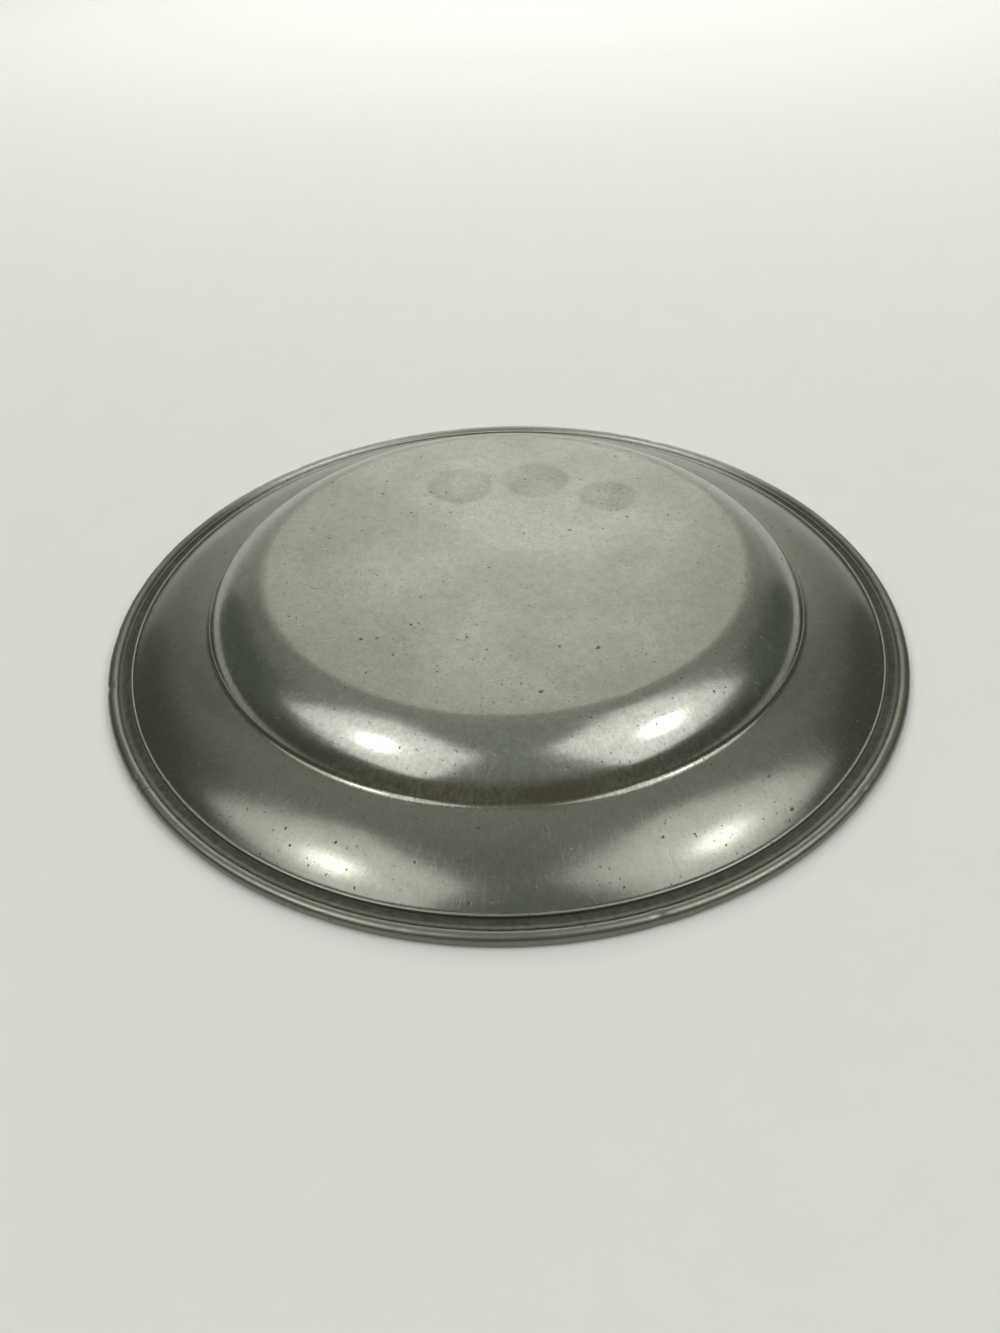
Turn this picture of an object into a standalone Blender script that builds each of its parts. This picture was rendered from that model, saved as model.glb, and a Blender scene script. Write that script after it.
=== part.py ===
"""Pewter plate lying face down: a turned dish with a reeded moulding soldered round its rim.

Metres, +Z up. The origin is the centre of the flat ring on which the rim rests,
and +Z runs along the plate's axis towards the flat foot under the well.
"""

import math

import bmesh
import bpy
from mathutils import Matrix, Vector

# Driving dimensions, in metres and degrees
PLATE_RADIUS = 0.1175       # outermost radius, over the bead
WALL = 0.0015               # thickness of the dish, square to its surface

RIM_INNER_RADIUS = 0.0880   # where the rim meets the fillet below the bouge
RIM_INNER_SLOPE = 7.0       # fall of the rim beside the bouge
RIM_OUTER_SLOPE = 34.0      # fall of the rim at the moulding

BOUGE_HEIGHT = 0.0123       # from the rim's inner edge up to the foot
BOUGE_SLOPE = 63.0          # steepest fall of the bouge
BOUGE_FILLET = 0.0021       # hollow fillet between rim and bouge
BOUGE_RADIUS = 0.0135       # round of the bouge below the shoulder
SHOULDER_RADIUS = 0.028     # broad round shoulder between bouge and foot
SHOULDER_SLOPE = 34.5       # fall where the shoulder passes into the bouge

MOULDING_WIDTH = 0.0074     # from the edge of the dish to the outermost edge
MOULDING_LAP = 0.0014       # length of the moulding's lip under the face of the dish
SOLDER_GAP = 0.0003         # room for solder between dish and moulding
DISH_LIFT = 0.0020          # height of the dish's face edge over the resting plane
BEAD_RADIUS = 0.00175       # outer round bead of the moulding
REED_RADIUS = 0.0005        # thin inner reed of the moulding
REED_RISE = 0.0003          # crest of the reed over the rim
GROOVE_DEPTH = 0.0009       # floor of the groove below the crest of the reed
LEDGE_WIDTH = 0.0009        # narrow flat ledge between groove and bead
LEDGE_RISE = 0.0004         # ledge over the floor of the groove

BUTT_ANGLE = 217.5          # where the two ends of the moulding strip meet
BUTT_GAP = 0.0003           # room for solder between those ends

# Facets
TURN_STEPS = 96
RIM_STEPS = 8
FILLET_STEPS = 4
BOUGE_STEPS = 4
SHOULDER_STEPS = 6
BEAD_STEPS = 5
REED_STEPS = 6
SHARP_ANGLE = math.radians(32.0)

# Directions at the edge of the dish, as radius and height
OUT_SLOPE = math.radians(RIM_OUTER_SLOPE)
DOWN_RIM = Vector((math.cos(OUT_SLOPE), -math.sin(OUT_SLOPE)))
OFF_RIM = Vector((math.sin(OUT_SLOPE), math.cos(OUT_SLOPE)))

# Edge of the dish, on its underside and on its face
EDGE_RADIUS = PLATE_RADIUS - MOULDING_WIDTH
EDGE = Vector((EDGE_RADIUS, DISH_LIFT + WALL * OFF_RIM.y))
FACE_EDGE = EDGE - WALL * OFF_RIM


class Walk:
    """A path in radius and height that runs on through tangent lines and arcs."""

    def __init__(self, start, heading):
        self.heading = heading
        self.points = [start.copy()]
        self.normals = [self.right()]

    def ahead(self):
        return Vector((math.cos(self.heading), math.sin(self.heading)))

    def right(self):
        ahead = self.ahead()
        return Vector((ahead.y, -ahead.x))

    def line(self, length):
        self.points.append(self.points[-1] + length * self.ahead())
        self.normals.append(self.right())

    def arc(self, radius, turn, steps):
        """Turn left for a positive angle and right for a negative one."""
        side = math.copysign(1.0, turn)
        centre = self.points[-1] - side * radius * self.right()
        for _ in range(steps):
            self.heading += turn / steps
            self.points.append(centre + side * radius * self.right())
            self.normals.append(self.right())


def around(centre, radius, first, last, steps):
    """Points on an arc between two angles, both ends included."""
    points = []
    for step in range(steps + 1):
        angle = first + (last - first) * step / steps
        points.append(centre + radius * Vector((math.cos(angle), math.sin(angle))))
    return points


def dish_outline():
    """Section of the dish, from the axis along the foot to the edge and back inside."""
    inner = math.radians(RIM_INNER_SLOPE)
    steep = math.radians(BOUGE_SLOPE)
    over = math.radians(SHOULDER_SLOPE)
    rim_radius = (EDGE_RADIUS - RIM_INNER_RADIUS) / (math.sin(OUT_SLOPE) - math.sin(inner))
    fillet_rise = BOUGE_FILLET * (math.cos(inner) - math.cos(steep))
    round_rise = SHOULDER_RADIUS * (1.0 - math.cos(over))
    round_rise += BOUGE_RADIUS * (math.cos(over) - math.cos(steep))
    room = BOUGE_HEIGHT - fillet_rise
    squeeze = min(1.0, room / round_rise)
    wall_rise = room - squeeze * round_rise

    walk = Walk(EDGE, math.pi - OUT_SLOPE)
    walk.arc(rim_radius, OUT_SLOPE - inner, RIM_STEPS)
    walk.arc(BOUGE_FILLET, inner - steep, FILLET_STEPS)
    walk.line(wall_rise / math.sin(steep))
    walk.arc(squeeze * BOUGE_RADIUS, steep - over, BOUGE_STEPS)
    walk.arc(squeeze * SHOULDER_RADIUS, over, SHOULDER_STEPS)
    walk.line(walk.points[-1].x)

    under = walk.points
    face = [point - WALL * normal for point, normal in zip(under, walk.normals)]
    for side in (under, face):
        side[-1].x = 0.0
    return under[::-1] + face


def moulding_outline():
    """Section of the moulding: flat face, bead, ledge, groove, reed, and the rebate for the dish."""
    corner = FACE_EDGE + SOLDER_GAP * (DOWN_RIM - OFF_RIM)
    lip = corner - MOULDING_LAP * DOWN_RIM
    rim_line = EDGE + SOLDER_GAP * DOWN_RIM

    bead = Vector((PLATE_RADIUS - BEAD_RADIUS, BEAD_RADIUS))
    reed = rim_line + REED_RADIUS * DOWN_RIM + (REED_RISE - REED_RADIUS) * OFF_RIM
    floor = reed.y + REED_RADIUS - GROOVE_DEPTH
    ledge = floor + LEDGE_RISE
    bead_end = math.pi - math.asin((ledge - bead.y) / BEAD_RADIUS)
    ledge_toe = bead.x + BEAD_RADIUS * math.cos(bead_end) - LEDGE_WIDTH
    reed_start = math.asin((floor - reed.y) / REED_RADIUS)
    reed_end = math.pi - OUT_SLOPE

    outline = [corner, lip, Vector((lip.x, 0.0))]
    outline += around(bead, BEAD_RADIUS, -math.pi / 2, 0.0, BEAD_STEPS)
    outline += around(bead, BEAD_RADIUS, 0.0, bead_end, BEAD_STEPS)[1:]
    outline += [Vector((ledge_toe, ledge)), Vector((ledge_toe, floor))]
    outline += around(reed, REED_RADIUS, reed_start, reed_end, REED_STEPS)
    return outline


def finish(name, mesh_data, material):
    """Turn a finished bmesh into a named, smooth-shaded object."""
    bmesh.ops.remove_doubles(mesh_data, verts=mesh_data.verts[:], dist=1e-6)
    bmesh.ops.recalc_face_normals(mesh_data, faces=mesh_data.faces[:])
    mesh = bpy.data.meshes.new(name)
    mesh_data.to_mesh(mesh)
    mesh_data.free()
    mesh.materials.append(material)
    mesh.shade_smooth()
    mesh.set_sharp_from_angle(angle=SHARP_ANGLE)
    built = bpy.data.objects.new(name, mesh)
    bpy.context.scene.collection.objects.link(built)
    return built


def turned(name, outline, material):
    """Spin an open section, with both ends on the axis, through a full turn."""
    mesh_data = bmesh.new()
    ring = [mesh_data.verts.new((point.x, 0.0, point.y)) for point in outline]
    edges = [mesh_data.edges.new(pair) for pair in zip(ring, ring[1:])]
    bmesh.ops.spin(
        mesh_data,
        geom=ring + edges,
        cent=(0.0, 0.0, 0.0),
        axis=(0.0, 0.0, 1.0),
        angle=2.0 * math.pi,
        steps=TURN_STEPS,
        use_merge=True,
    )
    return finish(name, mesh_data, material)


def bent_strip(name, outline, material):
    """Sweep a closed section round the axis and leave the gap between its two ends."""
    half_gap = math.asin(0.5 * BUTT_GAP / EDGE_RADIUS)
    mesh_data = bmesh.new()
    ring = [mesh_data.verts.new((point.x, 0.0, point.y)) for point in outline]
    section = mesh_data.faces.new(ring)
    start = Matrix.Rotation(math.radians(BUTT_ANGLE) + half_gap, 3, "Z")
    bmesh.ops.rotate(mesh_data, verts=ring, cent=(0.0, 0.0, 0.0), matrix=start)
    bmesh.ops.spin(
        mesh_data,
        geom=ring + list(section.edges) + [section],
        cent=(0.0, 0.0, 0.0),
        axis=(0.0, 0.0, 1.0),
        angle=2.0 * (math.pi - half_gap),
        steps=TURN_STEPS,
        use_duplicate=False,
    )
    return finish(name, mesh_data, material)


def pewter(name, colour, roughness):
    """A plain metal material."""
    material = bpy.data.materials.new(name)
    material.use_nodes = True
    shader = material.node_tree.nodes["Principled BSDF"]
    shader.inputs["Base Color"].default_value = (*colour, 1.0)
    shader.inputs["Metallic"].default_value = 1.0
    shader.inputs["Roughness"].default_value = roughness
    return material


def main():
    for old in list(bpy.data.objects):
        bpy.data.objects.remove(old, do_unlink=True)
    turned("plate_body", dish_outline(), pewter("worn_pewter", (0.47, 0.47, 0.42), 0.34))
    bent_strip("rim_moulding", moulding_outline(), pewter("dull_pewter", (0.40, 0.39, 0.33), 0.40))


main()
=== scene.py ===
"""Dress the pewter plate: finely turned meshes, worn metal and a soft studio round it.

Metres, +Z up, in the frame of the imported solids. The plate lies face down on its rim,
so +Z runs from the resting plane towards the flat foot under the well.
"""

import functools
import math

import bmesh
import bpy
import numpy as np
from bpy.props import FloatProperty, FloatVectorProperty, IntProperty, PointerProperty
from mathutils import Matrix, Vector, noise


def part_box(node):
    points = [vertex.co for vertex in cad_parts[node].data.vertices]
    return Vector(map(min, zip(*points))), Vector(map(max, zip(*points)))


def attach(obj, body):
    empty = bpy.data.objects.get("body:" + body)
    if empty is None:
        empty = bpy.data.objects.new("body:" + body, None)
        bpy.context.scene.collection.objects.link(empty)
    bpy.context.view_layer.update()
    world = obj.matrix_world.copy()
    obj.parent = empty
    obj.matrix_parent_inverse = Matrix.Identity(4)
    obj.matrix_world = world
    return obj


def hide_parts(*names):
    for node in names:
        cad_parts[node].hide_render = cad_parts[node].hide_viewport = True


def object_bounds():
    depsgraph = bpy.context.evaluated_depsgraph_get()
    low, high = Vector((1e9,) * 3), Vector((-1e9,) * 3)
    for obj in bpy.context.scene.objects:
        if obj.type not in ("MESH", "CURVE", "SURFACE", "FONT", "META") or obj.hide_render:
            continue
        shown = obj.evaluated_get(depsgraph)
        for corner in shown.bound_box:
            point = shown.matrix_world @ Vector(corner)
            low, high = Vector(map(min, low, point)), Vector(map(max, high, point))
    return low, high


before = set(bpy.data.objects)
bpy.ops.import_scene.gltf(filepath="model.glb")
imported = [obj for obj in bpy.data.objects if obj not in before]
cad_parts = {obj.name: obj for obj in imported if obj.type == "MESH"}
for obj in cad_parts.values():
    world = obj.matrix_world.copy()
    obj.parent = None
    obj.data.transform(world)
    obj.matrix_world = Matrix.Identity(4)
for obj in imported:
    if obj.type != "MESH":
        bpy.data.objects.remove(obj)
cad_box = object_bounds()

bl_info = {
    "name": "Pewter Plate",
    "version": (1, 0, 0),
    "blender": (4, 5, 0),
    "location": "3D View > Sidebar > Pewter",
    "description": "Turns a worn pewter plate that lies face down, and lights it softly",
    "category": "Add Mesh",
}

BODY = "root"
MM = 0.001

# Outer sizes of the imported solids
DISH_EDGE_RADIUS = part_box("plate_body")[1].x
FOOT_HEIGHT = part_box("plate_body")[1].z
PLATE_RADIUS = cad_box[1].x

# Steps along the sections and round the turn
DISH_TURN_STEPS = 448
STRIP_TURN_STEPS = 900
FOOT_STEPS = 66
SHOULDER_STEPS = 12
FLANK_STEPS = 22
BOUGE_STEPS = 14
FILLET_STEPS = 12
RIM_STEPS = 46
BEAD_STEPS = 26
REED_STEPS = 14
EASE_STEPS = 4
BUTT_STEPS = 2
BACKDROP_BEND_STEPS = 16
BACKDROP_RISE_STEPS = 2
FACE_STRIDE = 4             # the hidden face keeps every fourth point of the section

# Shading and clean-up of the meshes
SHARP_ANGLE = math.radians(38.0)
WELD_DISTANCE = 1e-7
SLIVER_SIZE = 1e-8
EASE_SHARE = 0.45           # most that easing a corner takes of a side of the section

# Where wear lies on the meshes
FOOT_DEPTH = 0.2 * MM       # depth below the foot's plane that still counts as foot
DENT_REACH = 108.0 * MM     # radius inside which the dish is dented
SWELL_FADE = 1.5 * MM       # height over the resting plane at which the swell is full
KNOCK_LOW = 0.4 * MM        # height over the resting plane at which knocks in the bead begin
KNOCK_HIGH = 1.6 * MM       # height at which they are full
KNOCK_INSIDE = 1.2 * MM     # how far they run inside the middle of the bead

# Soft rings of wear and dirt: middle radius and half width
SHOULDER_RING = (79.0 * MM, 8.0 * MM)
FILLET_RING = (86.4 * MM, 3.2 * MM)
GROOVE_RING = (112.3 * MM, 1.3 * MM)
DIP_RING = (114.3 * MM, 0.5 * MM)
LEDGE_RING = (113.8 * MM, 0.7 * MM)
REED_RING = (110.7 * MM, 0.6 * MM)

# Smears that wiping left: how often they change round the turn, and along a metre of radius
SMEARS_ROUND = 70.0
SMEARS_OUT = 60.0

# Relief of a roundel, as shares of its radius
ROUNDEL_EDGE = 0.86
ROUNDEL_RING = 0.72
ROUNDEL_RING_WIDTH = 0.07

# Where the colours of the room pass into each other, as parts of a direction
CEILING_START, CEILING_FULL = 0.45, 0.90
FRONT_FULL, FRONT_START = -0.80, -0.30
BACK_START, BACK_FULL = 0.59, 1.0

SENSOR_WIDTH = 36.0         # in millimetres
NEAREST_VIEW = 0.01
BACKDROP_LIFT = 0.5 * MM    # keeps the foot of the backdrop off the floor

# Worn blank roundels on the underside of the well: centre x, centre y, radius
ROUNDELS = (
    (-13.5 * MM, 37.5 * MM, 11.2 * MM),
    (10.9 * MM, 40.0 * MM, 11.4 * MM),
    (33.0 * MM, 28.5 * MM, 9.5 * MM),
)

# Knocks in the bead: place round the turn in degrees, half width and depth
BEAD_KNOCKS = (
    (195.6, 1.3 * MM, 0.30 * MM),
    (215.3, 0.9 * MM, 0.22 * MM),
    (285.8, 1.1 * MM, 0.26 * MM),
    (248.0, 1.6 * MM, 0.12 * MM),
    (318.0, 1.4 * MM, 0.14 * MM),
    (60.0, 1.8 * MM, 0.16 * MM),
    (131.0, 1.2 * MM, 0.20 * MM),
)


def length(name, description, default):
    """A size in metres."""
    return FloatProperty(name=name, description=description, default=default, unit="LENGTH", precision=5)


def angle(name, description, degrees):
    """An angle, written here in degrees."""
    return FloatProperty(
        name=name, description=description, default=math.radians(degrees), subtype="ANGLE"
    )


def count(name, description, default):
    """A whole number that isn't negative."""
    return IntProperty(name=name, description=description, default=default, min=0)


def amount(name, description, default):
    """A plain number that isn't negative."""
    return FloatProperty(name=name, description=description, default=default, min=0.0)


def colour(name, description, default):
    """A linear colour."""
    return FloatVectorProperty(
        name=name, description=description, default=default, size=3, min=0.0, max=1.0, subtype="COLOR"
    )


def place(name, description, default):
    """A point in metres."""
    return FloatVectorProperty(
        name=name, description=description, default=default, size=3, subtype="TRANSLATION", unit="LENGTH"
    )


class DishSizes(bpy.types.PropertyGroup):
    """Section of the turned dish."""

    foot_height: length("Foot Height", "Underside of the well over the resting plane", FOOT_HEIGHT)
    edge_radius: length("Edge Radius", "Edge of the sheet, beside the moulding", DISH_EDGE_RADIUS)
    wall: length("Wall", "Thickness of the sheet", 1.5 * MM)
    rim_inner_radius: length("Rim Inner Radius", "Where the rim meets the fillet", 88.3 * MM)
    rim_inner_slope: angle("Rim Inner Slope", "Fall of the rim beside the bouge", 7.0)
    rim_outer_slope: angle("Rim Outer Slope", "Fall of the rim at the moulding", 34.0)
    bouge_slope: angle("Bouge Slope", "Steepest fall of the bouge", 63.0)
    bouge_fillet: length("Bouge Fillet", "Hollow between rim and bouge", 2.6 * MM)
    flank_radius: length("Flank Radius", "Flatter round between shoulder and bouge", 34.4 * MM)
    flank_slope: angle("Flank Slope", "Fall where the flank passes into the bouge", 40.0)
    shoulder_radius: length("Shoulder Radius", "Round between flank and foot", 12.0 * MM)
    shoulder_slope: angle("Shoulder Slope", "Fall where the shoulder passes into the flank", 19.4)


class MouldingSizes(bpy.types.PropertyGroup):
    """Section of the reeded strip and its solder."""

    plate_radius: length("Plate Radius", "Outermost radius, over the bead", PLATE_RADIUS)
    lap: length("Lap", "Length of the strip's lip under the face of the dish", 1.4 * MM)
    solder_gap: length("Solder Gap", "Room for solder", 0.3 * MM)
    dish_lift: length("Dish Lift", "Face edge of the dish over the resting plane", 2.0 * MM)
    bead_radius: length("Bead Radius", "Outer round bead", 1.75 * MM)
    reed_radius: length("Reed Radius", "Thin inner reed", 0.5 * MM)
    reed_rise: length("Reed Rise", "Crest of the reed over the rim", 0.3 * MM)
    groove_depth: length("Groove Depth", "Floor of the groove below the reed's crest", 0.9 * MM)
    ledge_width: length("Ledge Width", "Narrow flat between groove and bead", 0.9 * MM)
    ledge_rise: length("Ledge Rise", "Ledge over the floor of the groove", 0.4 * MM)
    ease: length("Ease", "Wear that rounds each corner of the section", 0.16 * MM)
    butt_angle: angle("Butt Angle", "Where the ends of the strip meet", 217.5)
    butt_gap: length("Butt Gap", "Room for solder between the ends", 0.3 * MM)
    solder_sink: length("Solder Sink", "How far the solder lies below the metal round it", 0.03 * MM)


class WearAmounts(bpy.types.PropertyGroup):
    """How far use has moved the metal from its turned shape."""

    seed: count("Seed", "Picks the places of the dents", 7)
    broad_swell: length("Broad Swell", "Height of the broad unevenness", 0.09 * MM)
    broad_wave: length("Broad Wave", "Length of the broad unevenness", 52.0 * MM)
    small_swell: length("Small Swell", "Height of the small unevenness", 0.022 * MM)
    small_wave: length("Small Wave", "Length of the small unevenness", 15.0 * MM)
    tool_swell: length("Tool Swell", "Height of the rings left by the turning tool", 0.006 * MM)
    tool_pitch: length("Tool Pitch", "Spacing of the rings left by the turning tool", 3.2 * MM)
    dents: count("Dents", "Number of small dents", 90)
    dent_size: length("Dent Size", "Largest half width of a dent", 3.2 * MM)
    dent_depth: length("Dent Depth", "Largest depth of a dent", 0.045 * MM)
    bead_dents: count("Bead Dents", "Number of dents in the bead", 70)
    bead_dent_depth: length("Bead Dent Depth", "Largest depth of a dent in the bead", 0.07 * MM)
    roundel_depth: length("Roundel Depth", "Depth of the worn blank roundels", 0.07 * MM)


class FinishColours(bpy.types.PropertyGroup):
    """Colours of the worn metal, some also painted on the moulding as light and shade."""

    # Clean metal, also used on the back of the moulding as painted light
    clean: colour("Clean Metal", "Metal that handling keeps clean", (0.315, 0.321, 0.286))
    # Dull metal, also used on the front of the moulding as a painted highlight
    dull_and_painted_light: colour("Dull Metal", "Metal under a thin grey film", (0.265, 0.273, 0.238))
    # Polished metal, also used on the moulding's reed, partly as a painted highlight
    bright: colour("Bright Metal", "Metal that cloths have polished", (0.366, 0.372, 0.339))
    rim: colour("Rim Metal", "Metal of the rim, under an older film", (0.198, 0.205, 0.178))
    strip: colour("Strip Metal", "Metal of the moulding", (0.138, 0.140, 0.112))
    stain: colour("Stain", "Brown film in sheltered places", (0.150, 0.138, 0.100))
    # Grime in pits and grooves, also used as painted shade low on the moulding's bead
    grime_and_painted_shade: colour("Grime", "Dark dirt in grooves and pits", (0.030, 0.032, 0.023))
    solder: colour("Solder", "Metal of the solder", (0.170, 0.172, 0.138))


class StudioSetup(bpy.types.PropertyGroup):
    """Floor, backdrop, lamps and camera."""

    floor_colour: colour("Floor", "Pale matt floor", (0.824, 0.821, 0.796))
    side_colour: colour("Room Sides", "Dim room to the left and right", (0.156, 0.179, 0.150))
    front_colour: colour("Room Front", "Dim room behind the camera", (0.237, 0.233, 0.182))
    ceiling_colour: colour("Room Ceiling", "Dim room overhead", (0.365, 0.399, 0.361))
    back_colour: colour("Room Back", "Paler room over the backdrop", (0.612, 0.622, 0.577))
    back_tilt: angle("Room Back Tilt", "Height of the palest part of the room, as an angle", 45.2)
    floor_size: length("Floor Size", "Side of the square floor", 9.0)
    backdrop_distance: length("Backdrop Distance", "From the plate to the backdrop", 1.9)
    backdrop_width: length("Backdrop Width", "Width of the backdrop", 3.9)
    backdrop_shift: length("Backdrop Shift", "Middle of the backdrop to the right of the plate", -0.02)
    backdrop_height: length("Backdrop Height", "Height of the backdrop", 2.5)
    backdrop_bend: length("Backdrop Bend", "Radius of the curve at the foot of the backdrop", 0.25)
    left_panel_place: place("Left Panel Place", "Soft panel on the left", (-0.821, -0.437, 1.657))
    left_panel_aim: place("Left Panel Aim", "Point that the left panel faces", (1.338, 0.603, 1.069))
    right_panel_place: place("Right Panel Place", "Soft panel on the right", (0.928, -0.284, 1.634))
    right_panel_aim: place("Right Panel Aim", "Point that the right panel faces", (-0.281, 0.182, 1.014))
    panel_width: length("Panel Width", "Width of a soft panel", 1.36)
    panel_height: length("Panel Height", "Height of a soft panel", 1.53)
    left_panel_glow: amount("Left Panel Glow", "Brightness, where one is white", 1.52)
    right_panel_glow: amount("Right Panel Glow", "Brightness, where one is white", 1.57)
    left_lamp_place: place("Left Lamp Place", "Lamp in front of the left panel", (-0.895, -0.408, 1.350))
    right_lamp_place: place("Right Lamp Place", "Lamp in front of the right panel", (0.989, -0.274, 1.317))
    lamp_width: length("Lamp Width", "Width of a lamp", 0.28)
    lamp_height: length("Lamp Height", "Height of a lamp", 0.23)
    lamp_glow: amount("Lamp Glow", "Brightness, where one is white", 9.0)
    wash_place: place("Wash Place", "Lamp that lights the backdrop", (0.06, 1.0, 1.5))
    wash_width: length("Wash Width", "Width of the backdrop's lamp", 0.8)
    wash_height: length("Wash Height", "Height of the backdrop's lamp", 0.24)
    wash_glow: amount("Wash Glow", "Brightness, where one is white", 32.0)
    camera_back: length("Camera Back", "Camera in front of the plate's axis", 0.23744)
    camera_height: length("Camera Height", "Camera over the resting plane", 0.18651)
    camera_tilt: angle("Camera Tilt", "How far the camera looks down", 41.1304)
    camera_turn: angle("Camera Turn", "How far the camera looks to the left", 0.5665)
    camera_roll: angle("Camera Roll", "How far the camera leans", -2.0696)
    camera_lens: amount("Camera Lens", "Focal length in millimetres", 26.467)


class Walk:
    """A path in radius and height, made of lines and tangent arcs, with its upper side on the left."""

    def __init__(self, start, heading=0.0):
        self.heading = heading
        self.points = [Vector(start)]
        self.lefts = [self.left()]

    def left(self):
        return Vector((-math.sin(self.heading), math.cos(self.heading)))

    def line(self, reach, steps):
        ahead = Vector((math.cos(self.heading), math.sin(self.heading)))
        start = self.points[-1]
        for step in range(1, steps + 1):
            self.points.append(start + ahead * (reach * step / steps))
            self.lefts.append(self.left())

    def arc(self, radius, turned, steps):
        """Turn left for a positive angle and right for a negative one."""
        side = math.copysign(1.0, turned)
        centre = self.points[-1] + side * radius * self.left()
        for _ in range(steps):
            self.heading += turned / steps
            self.points.append(centre - side * radius * self.left())
            self.lefts.append(self.left())


def around(centre, radius, first, last, steps):
    """Points on an arc between two angles, both ends included."""
    return [
        centre + radius * Vector((math.cos(turned), math.sin(turned)))
        for turned in np.linspace(first, last, steps + 1)
    ]


def eased(before, corner, after, reach):
    """Points of a short curve that cuts a corner."""
    back, on = before - corner, after - corner
    start = corner + back.normalized() * min(reach, EASE_SHARE * back.length)
    end = corner + on.normalized() * min(reach, EASE_SHARE * on.length)
    points = []
    for step in range(EASE_STEPS + 1):
        t = step / EASE_STEPS
        points.append(start * (1 - t) ** 2 + corner * (2 * t * (1 - t)) + end * t**2)
    return points


def dish_section(sizes):
    """Closed section of the dish, from the axis along the foot to the edge and back inside."""
    inner, outer = sizes.rim_inner_slope, sizes.rim_outer_slope
    over, flank, steep = sizes.shoulder_slope, sizes.flank_slope, sizes.bouge_slope
    rim_radius = (sizes.edge_radius - sizes.rim_inner_radius) / (math.sin(outer) - math.sin(inner))
    edge_height = bpy.context.scene.pewter_moulding.dish_lift + sizes.wall * math.cos(outer)
    bouge_rise = sizes.foot_height - edge_height - rim_radius * (math.cos(inner) - math.cos(outer))
    bouge_rise -= sizes.bouge_fillet * (math.cos(inner) - math.cos(steep))
    bouge_rise -= sizes.shoulder_radius * (1.0 - math.cos(over))
    bouge_rise -= sizes.flank_radius * (math.cos(over) - math.cos(flank))
    if bouge_rise < 0.0:
        raise ValueError("The bouge is too low for its shoulder and fillet")
    bouge_radius = bouge_rise / (math.cos(flank) - math.cos(steep))
    foot_radius = sizes.rim_inner_radius - sizes.bouge_fillet * (math.sin(steep) - math.sin(inner))
    foot_radius -= bouge_radius * (math.sin(steep) - math.sin(flank))
    foot_radius -= sizes.flank_radius * (math.sin(flank) - math.sin(over))
    foot_radius -= sizes.shoulder_radius * math.sin(over)

    walk = Walk((0.0, sizes.foot_height))
    walk.line(foot_radius, FOOT_STEPS)
    walk.arc(sizes.shoulder_radius, -over, SHOULDER_STEPS)
    walk.arc(sizes.flank_radius, over - flank, FLANK_STEPS)
    walk.arc(bouge_radius, flank - steep, BOUGE_STEPS)
    walk.arc(sizes.bouge_fillet, steep - inner, FILLET_STEPS)
    walk.arc(rim_radius, inner - outer, RIM_STEPS)

    face = [point - sizes.wall * left for point, left in zip(walk.points, walk.lefts)]
    return walk.points + face[::-FACE_STRIDE]


class StripPlan:
    """Points that the moulding and its solder share, as radius and height."""

    def __init__(self, sizes, dish):
        self.slope = dish.rim_outer_slope
        self.down = Vector((math.cos(self.slope), -math.sin(self.slope)))
        self.off = Vector((math.sin(self.slope), math.cos(self.slope)))
        self.edge = Vector((dish.edge_radius, sizes.dish_lift + dish.wall * self.off.y))
        self.face_edge = self.edge - dish.wall * self.off
        self.corner = self.face_edge + sizes.solder_gap * (self.down - self.off)
        self.lip = self.corner - sizes.lap * self.down
        self.rim_line = self.edge + sizes.solder_gap * self.down
        self.bead = Vector((sizes.plate_radius - sizes.bead_radius, sizes.bead_radius))
        rise = sizes.reed_rise - sizes.reed_radius
        self.reed = self.rim_line + sizes.reed_radius * self.down + rise * self.off
        self.floor = self.reed.y + sizes.reed_radius - sizes.groove_depth
        self.ledge = self.floor + sizes.ledge_rise
        self.half_gap = math.asin(0.5 * sizes.butt_gap / dish.edge_radius)


def strip_section(sizes, plan):
    """Closed section of the moulding: flat face, bead, ledge, groove, reed, and the rebate for the dish."""
    bead_end = math.pi - math.asin((plan.ledge - plan.bead.y) / sizes.bead_radius)
    bead = around(plan.bead, sizes.bead_radius, -math.pi / 2, bead_end, BEAD_STEPS)
    ledge_toe = bead[-1].x - sizes.ledge_width
    reed_start = math.asin((plan.floor - plan.reed.y) / sizes.reed_radius)
    reed = around(plan.reed, sizes.reed_radius, reed_start, math.pi - plan.slope, REED_STEPS)
    ledge_edge = Vector((ledge_toe, plan.ledge))
    groove_foot = Vector((ledge_toe, plan.floor))

    section = [plan.corner, plan.lip, Vector((plan.lip.x, 0.0)), *bead[:-1]]
    corners = [bead[-2], bead[-1], ledge_edge, groove_foot, reed[0], reed[1]]
    for before, corner, after in zip(corners, corners[1:], corners[2:]):
        section += eased(before, corner, after, sizes.ease)
    return section + reed[1:]


def solder_section(sizes, plan):
    """Closed section of the solder that fills the rebate between the moulding and the dish."""
    sink = sizes.solder_sink * plan.off
    lip_roof = plan.lip + sizes.solder_gap * plan.off
    return [plan.edge - sink, plan.face_edge, lip_roof, plan.lip, plan.corner, plan.rim_line - sink]


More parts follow.
